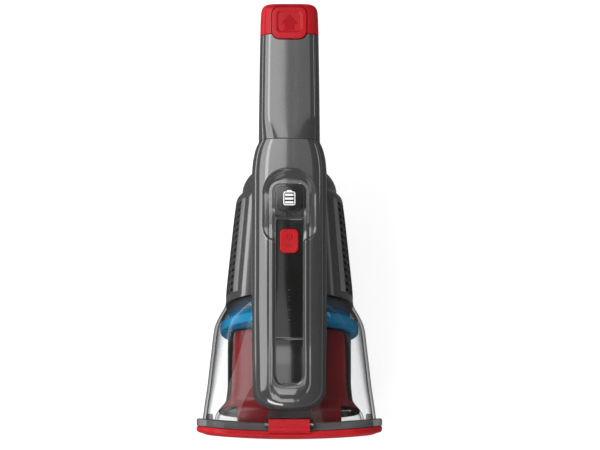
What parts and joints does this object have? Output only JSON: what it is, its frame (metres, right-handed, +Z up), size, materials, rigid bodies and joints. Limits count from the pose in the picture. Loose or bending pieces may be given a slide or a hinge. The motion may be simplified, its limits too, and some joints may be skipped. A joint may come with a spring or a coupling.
{
  "type": "handheld vacuum",
  "caption": "Cordless handheld vacuum with a battery grip, a clear dust bowl, an inlet duct with a flap, a hinged nose door and a motor and fan in a vented housing.",
  "frame": {"origin": "bottom centre of the overall box, on the table under the middle of the length", "axes": "+X to the right, +Y from the mouth to the tail, +Z up"},
  "size_m": [0.15, 0.3505, 0.1314],
  "materials": {
    "grey_gloss": "glossy metallic grey",
    "grey_dark": "glossy dark grey",
    "black_matte": "fine matt",
    "black_gloss": "high gloss",
    "rim_grey": "satin",
    "icon_white": "lit symbol",
    "red_gloss": "gloss",
    "red_clear": "gloss, a little translucent",
    "blue_plastic": "satin",
    "smoke_clear": "smoky clear plastic",
    "rubber": "matt",
    "paper": "pleated filter paper",
    "steel": "bright",
    "zinc_can": "rolled can",
    "copper": "enamelled winding",
    "brass": "plated",
    "cell_wrap": "shrink wrap over a metal can",
    "board_green": "solder mask",
    "wire_sleeve": "insulated wire",
    "white_plastic": "natural"
  },
  "bodies": {
    "main_body": {"spine_cover": "grey_gloss", "grip_upper": "grey_gloss", "grip_lower": "grey_dark", "motor_housing_left": "grey_dark", "motor_housing_right": "grey_dark", "vent_cover_left": "black_matte", "vent_cover_right": "black_matte", "belly_keel": "black_matte", "charge_contacts": "brass", "feet": "rubber", "display_bezel": "rim_grey", "display_window": "black_gloss", "display_icon": "icon_white", "inlay_panel": "black_gloss", "control_board": "board_green", "power_switch": "black_matte", "motor_can": "zinc_can", "motor_magnets": "steel", "bearing_front": "steel", "bearing_rear": "steel", "motor_mount": "rubber", "fan_shroud": "black_matte", "cell_left": "cell_wrap", "cell_right": "cell_wrap", "cell_top": "cell_wrap", "cell_spacer_front": "white_plastic", "cell_spacer_rear": "white_plastic", "cell_links": "steel", "motor_leads": "wire_sleeve", "housing_screws": "steel", "grip_screws": "steel", "power_spring": "steel", "release_spring": "steel"},
    "power_button": {"power_button": "red_gloss"},
    "release_button": {"release_button": "black_gloss"},
    "tail_cap": {"tail_cap": "red_gloss", "tongue_spring": "steel"},
    "cap_tongue": {"cap_tongue": "red_gloss"},
    "rotor": {"motor_shaft": "steel", "motor_rotor": "copper", "impeller": "zinc_can"},
    "dust_bowl": {"dust_bowl": "smoke_clear", "bowl_seal": "rubber", "filter_frame": "blue_plastic", "filter_pleats": "paper", "prefilter_mesh": "black_matte", "duct_top": "red_clear", "duct_base": "black_gloss", "hinge_pin": "steel", "latch_pin": "steel", "flap_pin": "steel", "latch_spring": "steel"},
    "inlet_flap": {"inlet_flap": "rubber"},
    "nose_door": {"nose_door": "red_gloss", "door_seal": "rubber"},
    "door_latch": {"door_latch": "red_gloss"}
  },
  "joints": [
    {"name": "power_press", "type": "slide", "parent": "main_body", "child": "power_button", "axis": [0, 0, -1], "range_m": [0, 0.0012], "stiffness_N_per_m": 600, "deforming": ["power_spring"]},
    {"name": "release_press", "type": "slide", "parent": "main_body", "child": "release_button", "axis": [0, 0, -1], "range_m": [0, 0.001], "stiffness_N_per_m": 800, "deforming": ["release_spring"]},
    {"name": "cap_slide", "type": "slide", "parent": "main_body", "child": "tail_cap", "axis": [0, 1, 0], "range_m": [0, 0.04]},
    {"name": "tongue_press", "type": "slide", "parent": "tail_cap", "child": "cap_tongue", "axis": [0, 0, -1], "range_m": [0, 0.0012], "stiffness_N_per_m": 600, "deforming": ["tongue_spring"]},
    {"name": "rotor_spin", "type": "hinge", "parent": "main_body", "child": "rotor", "pos_m": [0, 0, 0.062], "axis": [0, 1, 0], "continuous": true},
    {"name": "bowl_release", "type": "slide", "parent": "main_body", "child": "dust_bowl", "axis": [0, -0.788, -0.6157], "range_m": [0, 0.12]},
    {"name": "flap_swing", "type": "hinge", "parent": "dust_bowl", "child": "inlet_flap", "pos_m": [0, -0.148, 0.06], "axis": [1, 0, 0], "range_deg": [0, 60]},
    {"name": "door_swing", "type": "hinge", "parent": "dust_bowl", "child": "nose_door", "pos_m": [0, -0.155, 0.0056], "axis": [1, 0, 0], "range_deg": [0, 95]},
    {"name": "latch_rock", "type": "hinge", "parent": "dust_bowl", "child": "door_latch", "pos_m": [0, -0.165, 0.0874], "axis": [-1, 0, 0], "range_deg": [0, 12], "stiffness_Nm_per_rad": 0.05, "deforming": ["latch_spring"]}
  ]
}
